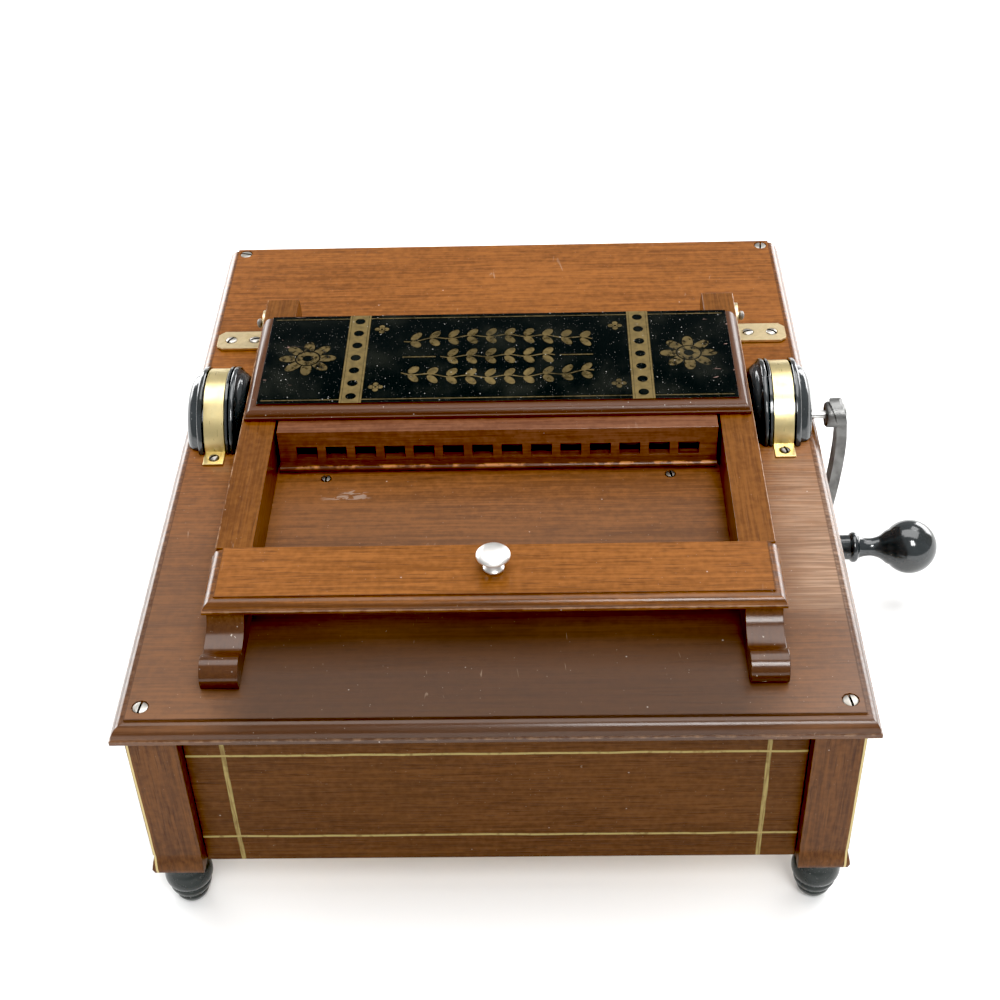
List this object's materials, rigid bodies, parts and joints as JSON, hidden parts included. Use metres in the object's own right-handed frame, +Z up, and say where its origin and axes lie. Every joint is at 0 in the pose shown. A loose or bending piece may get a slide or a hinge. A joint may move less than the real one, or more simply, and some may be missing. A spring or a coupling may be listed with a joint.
{
  "type": "hand crank music box",
  "caption": "Hand-cranked paper-roll reed organette: wooden case on turned feet, bellows inside, hinged frame that presses the paper, and a crank with a turned grip.",
  "frame": {"origin": "middle of the object's box, on the surface it stands on", "axes": "+Z up, +X towards the crank, +Y towards the hinge side at the back"},
  "size_m": [0.3786, 0.36, 0.1572],
  "materials": {
    "top_mahogany": "satin varnished mahogany, worn and scratched",
    "panel_mahogany": "satin varnished mahogany with dull gold painted lines",
    "post_mahogany": "satin varnished mahogany",
    "frame_mahogany": "satin varnished mahogany",
    "name_board_lacquer": "black gloss lacquer with worn bronze-gold ornament, mahogany moulding",
    "block_wood": "reddish satin varnished wood",
    "plain_wood": "bare pine and maple",
    "ebonised_lacquer": "turned wood in black gloss lacquer",
    "brass": "satin yellow brass, lightly tarnished",
    "screw_steel": "worn nickel-plated steel",
    "steel": "drawn steel",
    "nickel": "polished nickel plate",
    "cast_iron": "rubbed dark casting",
    "bellows_cloth": "rubberised black cotton"
  },
  "bodies": {
    "case": {"bottom_board": "plain_wood", "corner_screw_front_left": "screw_steel", "corner_screw_front_right": "screw_steel", "corner_screw_rear_left": "screw_steel", "corner_screw_rear_right": "screw_steel", "feeder_cloth": "bellows_cloth", "front_left_foot": "ebonised_lacquer", "front_left_post": "post_mahogany", "front_panel": "panel_mahogany", "front_right_foot": "ebonised_lacquer", "front_right_post": "post_mahogany", "leaf_screw_left_inner": "screw_steel", "leaf_screw_left_outer": "screw_steel", "leaf_screw_right_inner": "screw_steel", "leaf_screw_right_outer": "screw_steel", "left_bearing_cap": "ebonised_lacquer", "left_hinge_bracket": "brass", "left_hinge_pin": "steel", "left_panel": "panel_mahogany", "left_strap": "brass", "pan_screw_left": "screw_steel", "pan_screw_right": "screw_steel", "rear_left_foot": "ebonised_lacquer", "rear_left_post": "post_mahogany", "rear_panel": "panel_mahogany", "rear_right_foot": "ebonised_lacquer", "rear_right_post": "post_mahogany", "reed_pan": "plain_wood", "reed_plate": "brass", "reservoir_cloth": "bellows_cloth", "reservoir_spring": "steel", "right_bearing_cap": "ebonised_lacquer", "right_hinge_bracket": "brass", "right_hinge_pin": "steel", "right_panel": "panel_mahogany", "right_strap": "brass", "strap_screw_left_front": "screw_steel", "strap_screw_left_rear": "screw_steel", "strap_screw_right_front": "screw_steel", "strap_screw_right_rear": "screw_steel", "top_board": "top_mahogany", "tracker_bar": "block_wood", "wind_board": "plain_wood"},
    "crank": {"crank_shaft": "steel", "left_eccentric": "cast_iron", "right_eccentric": "cast_iron", "take_up_roller": "plain_wood", "crank_arm": "cast_iron", "grip_pin": "steel"},
    "grip": {"crank_grip": "ebonised_lacquer"},
    "left_rod": {"left_connecting_rod": "plain_wood"},
    "right_rod": {"right_connecting_rod": "plain_wood"},
    "top_frame": {"left_cheek": "frame_mahogany", "right_cheek": "frame_mahogany", "name_board": "name_board_lacquer", "front_board": "frame_mahogany", "pressure_block": "block_wood", "pull_knob": "nickel"},
    "feeder": {"feeder_board": "plain_wood"},
    "reservoir": {"reservoir_board": "plain_wood"}
  },
  "joints": [
    {"name": "crank_turn", "type": "hinge", "parent": "case", "child": "crank", "pos_m": [0.1147, 0.0226, 0.1229], "axis": [1, 0, 0], "continuous": true},
    {"name": "grip_spin", "type": "hinge", "parent": "crank", "child": "grip", "pos_m": [0.1547, 0.0226, 0.0359], "axis": [1, 0, 0], "continuous": true},
    {"name": "left_rod_swing", "type": "hinge", "parent": "crank", "child": "left_rod", "pos_m": [-0.1468, 0.0226, 0.1179], "axis": [1, 0, 0], "continuous": true},
    {"name": "right_rod_swing", "type": "hinge", "parent": "crank", "child": "right_rod", "pos_m": [0.0762, 0.0226, 0.1179], "axis": [1, 0, 0], "continuous": true},
    {"name": "top_frame_lift", "type": "hinge", "parent": "case", "child": "top_frame", "pos_m": [-0.0353, 0.0885, 0.137], "axis": [-1, 0, 0], "range_deg": [0, 165]},
    {"name": "feeder_swing", "type": "hinge", "parent": "case", "child": "feeder", "pos_m": [-0.0353, 0.152, 0.0852], "axis": [-1, 0, 0], "range_deg": [0, 4.4], "deforming": ["feeder_cloth"]},
    {"name": "reservoir_swing", "type": "hinge", "parent": "case", "child": "reservoir", "pos_m": [-0.0353, -0.144, 0.0852], "axis": [1, 0, 0], "range_deg": [0, 4.4], "deforming": ["reservoir_cloth", "reservoir_spring"]}
  ],
  "couplings": [
    {"joint": "left_rod_swing", "follows": "crank_turn", "ratio": -1},
    {"joint": "right_rod_swing", "follows": "crank_turn", "ratio": -1}
  ]
}
